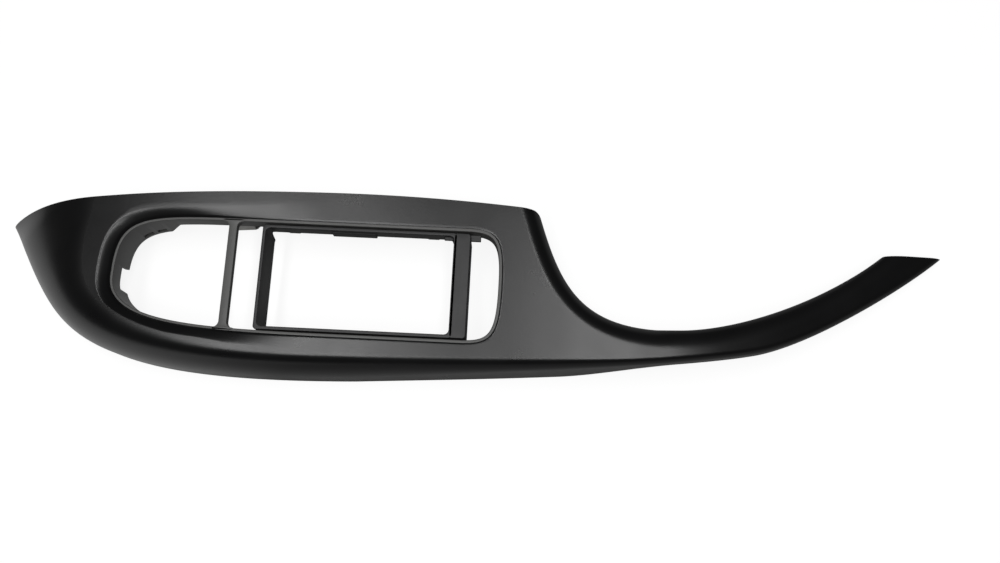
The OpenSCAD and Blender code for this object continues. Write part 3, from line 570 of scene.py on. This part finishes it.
def channel(outer, inner, low, high, r):
    """Closed sections round a wall between two outlines of like count: up the outside, over the
    rounded top, down the inside and back along the foot, which is BACK_STEP higher at the back."""
    gap = np.linalg.norm(outer - inner, axis=1)[:, None]
    a = np.radians(np.linspace(0, 90, 6))
    lift = lambda own: BACK_STEP * ease((own[:, 1] - f_back + 2.9) / 1.2)
    shift = lambda line, other, d: line + (other - line) / gap * d
    rows = [(shift(outer, inner, 0.2), low), (outer, low + 0.2)]
    rows += [(shift(outer, inner, r - r * math.cos(k)), high - r + r * math.sin(k)) for k in a]
    rows += [(shift(inner, outer, r - r * math.cos(k)), high - r + r * math.sin(k)) for k in a[::-1]]
    rows += [(inner, low + 0.2), (shift(inner, outer, 0.2), low), (shift(outer, inner, 0.2), low)]
    return np.stack([raise_own(own, z + lift(own) * (z < high - 5)) for own, z in rows])


window = rounded(FRAME_LEFT + FRAME_T, bar_left, f_front + FRAME_T, f_back - FRAME_T, 2.5)
around = rounded(FRAME_LEFT, bar_left + FRAME_T, f_front, f_back, 1.5)
walls = channel(around, window, f_low, f_top, 0.4)
bar_out = rounded(bar_left, f_right, f_front, f_back, 1.5)


def shrunk(line, d):
    """An outline drawn in towards its bounding box's middle line by d on every side."""
    lo, hi = line.min(axis=0), line.max(axis=0)
    mid, half = (lo + hi) / 2, (hi - lo) / 2
    return mid + (line - mid) * np.maximum(half - d, 0.0) / half


a = np.radians(np.linspace(0, 90, 6))
lid = [(BAR_MID, f_top)] + [(0.4 - 0.4 * math.sin(k), f_top - 0.4 + 0.4 * math.cos(k)) for k in a]
lid += [(0, f_low + 0.2), (0.2, f_low), (FRAME_T - 0.2, f_low), (FRAME_T, f_low + 0.2),
        (FRAME_T, f_top - 2.5), (BAR_MID, f_top - 2.5)]
bar = np.stack([raise_own(shrunk(bar_out, d), z) for d, z in lid])[::-1]


def slab(x0, x1, y0, y1, low, high, r=0.25):
    """A small block with softened edges, as stacked outlines."""
    line = rounded(x0, x1, y0, y1, r, 4)
    thin = min(x1 - x0, y1 - y0) / 2 - 0.01
    rows = [(thin, low), (r, low), (0, low + r), (0, high - r), (r, high), (thin, high)]
    return np.stack([raise_own(shrunk(line, d), z) for d, z in rows])


def ear(ex, ey):
    """Rows from an ear's hole out to its edge: a half round on the screw's side, straight sides
    back to the frame's wall. The edge lies at the lesser of side and wall along each ray."""
    th = np.radians(np.linspace(0, 360, 49))
    wall_y = abs(ey - (f_back if ey > 0 else f_front)) + FRAME_T / 2
    toward = -np.sign(ey) * np.sin(th)
    edge = np.where(toward > 0, np.minimum(EAR_R / np.maximum(np.abs(np.cos(th)), 1e-6),
                                           wall_y / np.maximum(toward, 1e-6)), EAR_R)
    low = frame_boss_low - 0.1 - EAR_T
    rows = [(EAR_HOLE, low), (edge - 0.2, low), (edge, low + 0.2), (edge, low + EAR_T - 0.2),
            (edge - 0.2, low + EAR_T), (EAR_HOLE, low + EAR_T), (EAR_HOLE, low)]
    return np.stack([raise_own(np.stack([ex + r * np.cos(th), ey + r * np.sin(th)], axis=-1), z)
                     for r, z in rows])


ledge = slab(10, 32, f_back - FRAME_T - 0.6, f_back - FRAME_T / 2, f_top - 9.2, f_top - 3)
shelf = slab(66, 84, f_back - 3.2, f_back - 0.05, f_top - 4, f_top - 2.5)
frame_piece = piece("switch_frame_walls", mesh_of("switch_frame_walls", [
    (walls, False), (bar, True), (ledge, False), (shelf, False)]
    + [(ear(ex, ey), True) for ex, ey in EARS]))
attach(frame_piece, "root")
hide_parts("switch_frame")

# Grip, lower half: a separate moulding that closes the grip from below. A lip laps inside the
# upper half's wall, and three screws hold it from beneath.

SHELL_T, LIP_H, LIP_T, LOW_ROUND = 2.0, 2.0, 1.3, 6.0
LIP_IN, low_s = SKIN_T + 0.25, np.linspace(1.67, GRIP_END_S, 129)


def low_z(x):
    """Height of the grip's underside."""
    return 0.6 * (crown(x) - split(x)) * (1 - ease((x - 120) / (REACH - 120)))


def low_side(edge, inward, outside):
    """One side of a section: over the lip, then a quarter of an ellipse down to the underside."""
    top = parting(edge[:, 0])
    lip = LIP_IN if outside else LIP_IN + LIP_T
    inset, floor_t = (0.0, 0.0) if outside else (SHELL_T, SHELL_T)
    high = top - 0.1 if outside else np.minimum(top - 0.4, 0.25 * low_z(edge[:, 0]) + 0.75 * top)
    a = np.radians(np.linspace(0, 90, 15))[:, None]
    xy = edge + inward * (inset + (LOW_ROUND - inset) * (1 - np.cos(a)))[..., None]
    foot = np.minimum(low_z(xy[..., 0]) + floor_t, top - 0.8)
    z = high * (1 - np.sin(a)) + foot * np.sin(a)
    at_lip = edge + inward * lip
    bevel = inward * (0.25 if outside else -0.25)
    first = [np.c_[at_lip + bevel, top + LIP_H], np.c_[at_lip, top + LIP_H - 0.25], np.c_[at_lip, top - 0.1]]
    return np.concatenate([np.stack(first), np.concatenate([xy, z[..., None]], axis=-1)])


def low_section(s, outside):
    """Both sides of the sections, front side first, as rows round the section."""
    p, way = along(FRONT_PATH, s)
    q, back = along(SWEEP_PATH, through(FACING, s))
    return np.concatenate([low_side(p, left(way), outside), low_side(q, -left(back), outside)[::-1]])


out = low_section(low_s, True)
hollow = low_section(np.linspace(1.682, GRIP_END_S, 129), False)
m = len(out) // 2
halves = lambda rows: np.stack([rows[:m, 0], rows[::-1][:m, 0]])
low_half = piece("grip_lower_half", mesh_of("grip_lower_half", [
    (out, True), (hollow, False), (halves(out), True), (halves(hollow), False),
    (np.array([[out[0, 0], out[-1, 0]], [hollow[0, 0], hollow[-1, 0]]]), True),
    (np.stack([out[0], hollow[0]]), False), (np.stack([hollow[-1], out[-1]]), False),
    (np.stack([out[:, -1], hollow[:, -1]]), False)]))


def seat(p):
    """Height at which a screw's head seats in its pocket."""
    return 0.55 * low_z(p[0]) + 0.45 * (parting(p[0]) - 1.1)


pockets = [bore((p[0], p[1], 0), "z", r, -2, h) for p in grip_at for r, h in ((1.4, 30.0), (2.9, seat(p)))]
carve(low_half, [prism("behind_foot", behind_foot, -12, 40)] + pockets)
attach(low_half, "root")
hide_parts("grip_lower_shell")

tubes = [turned_on(p, [(3.9, low_z(p[0]) + 1.0), (3.9, parting(p[0]) - 1.3), (3.7, parting(p[0]) - 1.1),
                       (1.4, parting(p[0]) - 1.1), (1.4, seat(p)), (2.9, seat(p)), (2.9, low_z(p[0]) + 1.0)])
         for p in grip_at]
columns = piece("grip_screw_columns", mesh_of("grip_screw_columns", [(g, True) for g in tubes]))
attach(columns, "root")
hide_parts("grip_lower_shell")

# Finishes: satin black lacquer over a very fine spark-eroded grain on the panel and the grip, a
# lighter charcoal grey than the skin's on the moulding in the opening, a plainer grey-black on the
# frame inside, and zinc-plated steel on the clips and screws.


def effect(name, build, inputs, outputs):
    """A shader node group with named sockets, filled by build(nodes, links, source, sink)."""
    group = bpy.data.node_groups.new(name, "ShaderNodeTree")
    for label, kind, value in inputs:
        socket = group.interface.new_socket(name=label, in_out="INPUT", socket_type=kind)
        socket.default_value = value
    for label, kind in outputs:
        group.interface.new_socket(name=label, in_out="OUTPUT", socket_type=kind)
    source, sink = group.nodes.new("NodeGroupInput"), group.nodes.new("NodeGroupOutput")
    build(group.nodes, group.links, source, sink)
    return group


def build_grain(nodes, links, source, sink):
    """Two layers of fine noise make the grain's height, and a slow cloud mottles gloss and colour."""
    where = nodes.new("ShaderNodeTexCoord")
    fine_noise, coarse, cloud = (nodes.new("ShaderNodeTexNoise") for _ in range(3))
    for n, detail in ((fine_noise, 2.0), (coarse, 1.0), (cloud, 3.0)):
        n.inputs["Detail"].default_value = detail
        links.new(where.outputs["Object"], n.inputs["Vector"])
    links.new(source.outputs["Grain scale"], fine_noise.inputs["Scale"])
    half = nodes.new("ShaderNodeMath")
    half.operation = "MULTIPLY"
    half.inputs[1].default_value = 0.37
    links.new(source.outputs["Grain scale"], half.inputs[0])
    links.new(half.outputs[0], coarse.inputs["Scale"])
    cloud.inputs["Scale"].default_value = 45.0
    height = nodes.new("ShaderNodeMix")
    height.inputs[0].default_value = 0.45
    links.new(fine_noise.outputs["Fac"], height.inputs[2])
    links.new(coarse.outputs["Fac"], height.inputs[3])
    bump = nodes.new("ShaderNodeBump")
    bump.inputs["Distance"].default_value = 0.00012
    links.new(source.outputs["Depth"], bump.inputs["Strength"])
    links.new(height.outputs[0], bump.inputs["Height"])
    rough = nodes.new("ShaderNodeMapRange")
    for i, v in ((1, 0.3), (2, 0.7)):
        rough.inputs[i].default_value = v
    links.new(cloud.outputs["Fac"], rough.inputs["Value"])
    links.new(source.outputs["Least roughness"], rough.inputs["To Min"])
    links.new(source.outputs["Most roughness"], rough.inputs["To Max"])
    tint = nodes.new("ShaderNodeMix")
    tint.data_type = "RGBA"
    links.new(cloud.outputs["Fac"], tint.inputs[0])
    links.new(source.outputs["Dark"], tint.inputs[6])
    links.new(source.outputs["Light"], tint.inputs[7])
    links.new(tint.outputs[2], sink.inputs["Color"])
    links.new(rough.outputs["Result"], sink.inputs["Roughness"])
    links.new(bump.outputs["Normal"], sink.inputs["Normal"])


grain = effect("moulded_grain", build_grain, [
    ("Grain scale", "NodeSocketFloat", 2500.0), ("Depth", "NodeSocketFloat", 0.3),
    ("Least roughness", "NodeSocketFloat", 0.4), ("Most roughness", "NodeSocketFloat", 0.5),
    ("Dark", "NodeSocketColor", (0.01, 0.01, 0.01, 1)), ("Light", "NodeSocketColor", (0.02, 0.02, 0.02, 1))],
    [("Color", "NodeSocketColor"), ("Roughness", "NodeSocketFloat"), ("Normal", "NodeSocketVector")])


def plastic(name, dark, light, rough, depth, scale, specular):
    """A moulded black plastic: the grain group feeds colour, gloss and normal."""
    mat = bpy.data.materials.new(name)
    mat.use_nodes = True
    nodes, links = mat.node_tree.nodes, mat.node_tree.links
    shader = nodes["Principled BSDF"]
    shader.inputs["Specular IOR Level"].default_value = specular
    g = nodes.new("ShaderNodeGroup")
    g.node_tree = grain
    for key, value in (("Grain scale", scale), ("Depth", depth), ("Least roughness", rough[0]),
                       ("Most roughness", rough[1]), ("Dark", (*dark, 1)), ("Light", (*light, 1))):
        g.inputs[key].default_value = value
    for key in ("Roughness", "Normal"):
        links.new(g.outputs[key], shader.inputs[key])
    links.new(g.outputs["Color"], shader.inputs["Base Color"])
    return mat


satin_black = plastic("satin_black_plastic", (0.0032, 0.0032, 0.0034), (0.006, 0.006, 0.0063),
                      (0.27, 0.31), 0.16, 1900.0, 0.5)
plain_black = plastic("plain_black_plastic", (0.012, 0.012, 0.0125), (0.019, 0.019, 0.02),
                      (0.45, 0.55), 0.2, 1800.0, 0.5)
# The rim wall and divider take a lighter charcoal grey than the skin.
rim_and_divider_grey = plastic("rim_and_divider_grey", (0.07, 0.07, 0.068), (0.1, 0.1, 0.097), (0.4, 0.48), 0.1, 1500.0, 0.5)
for obj in (skin, rim_wall, divider, flange, bosses, clip_blades, block_piece, low_half, columns):
    obj.data.materials.clear()
    obj.data.materials.append(rim_and_divider_grey if obj in (rim_wall, divider) else satin_black)
frame_piece.data.materials.append(plain_black)


def build_plate(nodes, links, source, sink):
    """Plated steel: a cloudy passivation tint, and fine scratches from stretched noise."""
    where, stretch = nodes.new("ShaderNodeTexCoord"), nodes.new("ShaderNodeMapping")
    stretch.inputs["Scale"].default_value = (300.0, 4000.0, 900.0)
    scratch, cloud = nodes.new("ShaderNodeTexNoise"), nodes.new("ShaderNodeTexNoise")
    scratch.inputs["Scale"].default_value, cloud.inputs["Scale"].default_value = 1.0, 260.0
    links.new(where.outputs["Object"], stretch.inputs["Vector"])
    links.new(stretch.outputs[0], scratch.inputs["Vector"])
    links.new(where.outputs["Object"], cloud.inputs["Vector"])
    tint = nodes.new("ShaderNodeMix")
    tint.data_type = "RGBA"
    links.new(cloud.outputs["Fac"], tint.inputs[0])
    links.new(source.outputs["Dark"], tint.inputs[6])
    links.new(source.outputs["Light"], tint.inputs[7])
    rough = nodes.new("ShaderNodeMapRange")
    rough.inputs["To Min"].default_value, rough.inputs["To Max"].default_value = 0.22, 0.42
    links.new(scratch.outputs["Fac"], rough.inputs["Value"])
    links.new(tint.outputs[2], sink.inputs["Color"])
    links.new(rough.outputs["Result"], sink.inputs["Roughness"])


plate = effect("plated_steel", build_plate, [
    ("Dark", "NodeSocketColor", (0.4, 0.4, 0.38, 1)), ("Light", "NodeSocketColor", (0.62, 0.62, 0.6, 1))],
    [("Color", "NodeSocketColor"), ("Roughness", "NodeSocketFloat")])
steel = bpy.data.materials.new("zinc_plated_steel")
steel.use_nodes = True
shader = steel.node_tree.nodes["Principled BSDF"]
shader.inputs["Metallic"].default_value = 1.0
g = steel.node_tree.nodes.new("ShaderNodeGroup")
g.node_tree = plate
steel.node_tree.links.new(g.outputs["Color"], shader.inputs["Base Color"])
steel.node_tree.links.new(g.outputs["Roughness"], shader.inputs["Roughness"])
for name in ("frame_screws", "grip_screws", *(f"spring_clip_{i}" for i in range(1, 6))):
    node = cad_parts[name]
    for slot in node.material_slots:
        slot.material = steel

# Camera: 77 degrees up and 0.48 m from the part, a little in front of straight above. This is
# where the perspective of the photograph places it.

EL, DIST = math.radians(77.0), 0.48
target = np.array([0.013, 0.0027, 0.020])
eye = target - DIST * np.array([0.0, math.cos(EL), -math.sin(EL)])
cam_data = bpy.data.cameras.new("camera")
cam_data.sensor_width, cam_data.lens = 36.0, 34.56
cam_data.clip_start = 0.01
cam = bpy.data.objects.new("camera", cam_data)
cam.location, cam.rotation_euler = eye, (math.pi / 2 - EL, 0.0, 0.0)
bpy.context.scene.collection.objects.link(cam)
bpy.context.scene.camera = cam

# Studio: a floor and a room that the camera sees as white, and two long strip softboxes overhead,
# which run across the part. Mirrored in the part, both are dim, so that the black stays black,
# but for the floor beyond the nose, which shows at half strength.


def seen_by(nodes, links, weights):
    """Sum of the Light Path flags for camera, glossy and transmission rays, each times its weight,
    which is a number or a socket."""
    path, total = nodes.new("ShaderNodeLightPath"), None
    for flag, weight in zip(("Is Camera Ray", "Is Glossy Ray", "Is Transmission Ray"), weights):
        part = nodes.new("ShaderNodeMath")
        part.operation = "MULTIPLY_ADD"
        part.inputs[2].default_value = 0.0
        if isinstance(weight, bpy.types.NodeSocket):
            links.new(weight, part.inputs[1])
        else:
            part.inputs[1].default_value = weight
        links.new(path.outputs[flag], part.inputs[0])
        if total is not None:
            links.new(total, part.inputs[2])
        total = part.outputs[0]
    return total


FLOOR_HALF = 4000.0
floor_corners = np.array([[[x, y, 0] for x in (-FLOOR_HALF, FLOOR_HALF)] for y in (-FLOOR_HALF, FLOOR_HALF)])
floor_mesh = mesh_of("floor", [(floor_corners, False)], weld=False)
floor = bpy.data.objects.new("floor", floor_mesh)
bpy.context.scene.collection.objects.link(floor)
paper = bpy.data.materials.new("floor_paper")
paper.use_nodes = True
nodes, links = paper.node_tree.nodes, paper.node_tree.links
shader = nodes["Principled BSDF"]
shader.inputs["Base Color"].default_value = (0.2, 0.2, 0.2, 1)
shader.inputs["Roughness"].default_value = 0.9
shader.inputs["Specular IOR Level"].default_value = 0.1
shader.inputs["Emission Color"].default_value = (1, 1, 1, 1)
place, split_at = nodes.new("ShaderNodeTexCoord"), nodes.new("ShaderNodeSeparateXYZ")
pale = nodes.new("ShaderNodeMapRange")
links.new(place.outputs["Object"], split_at.inputs["Vector"])
links.new(split_at.outputs["X"], pale.inputs["Value"])
for key, value in (("From Min", -0.22), ("From Max", -0.1), ("To Min", 0.5), ("To Max", 0.05)):
    pale.inputs[key].default_value = value
links.new(seen_by(nodes, links, (0.88, pale.outputs[0], 0.88)), shader.inputs["Emission Strength"])
floor_mesh.materials.append(paper)

world = bpy.data.worlds.new("studio")
bpy.context.scene.world = world
world.use_nodes = True
nodes, links = world.node_tree.nodes, world.node_tree.links
back = nodes["Background"]
back.inputs["Color"].default_value = (1, 1, 1, 1)
dim = nodes.new("ShaderNodeMath")
dim.operation = "MAXIMUM"
dim.inputs[1].default_value = 0.03
links.new(seen_by(nodes, links, (1.0, 0.05, 1.0)), dim.inputs[0])
links.new(dim.outputs[0], back.inputs["Strength"])


def softbox(name, at, size, watts):
    """A flat rectangular lamp that faces straight down."""
    data = bpy.data.lights.new(name, "AREA")
    data.shape, data.size, data.size_y, data.energy = "RECTANGLE", size[0], size[1], watts
    lamp = bpy.data.objects.new(name, data)
    lamp.location = at
    bpy.context.scene.collection.objects.link(lamp)


for strip, strip_x, watts in (("strip_left", -0.31, 7.0), ("strip_right", 0.22, 6.5)):
    softbox(strip, (strip_x, -0.13, 1.3), (0.18, 1.15), watts)
bpy.context.scene.view_settings.view_transform = "Standard"
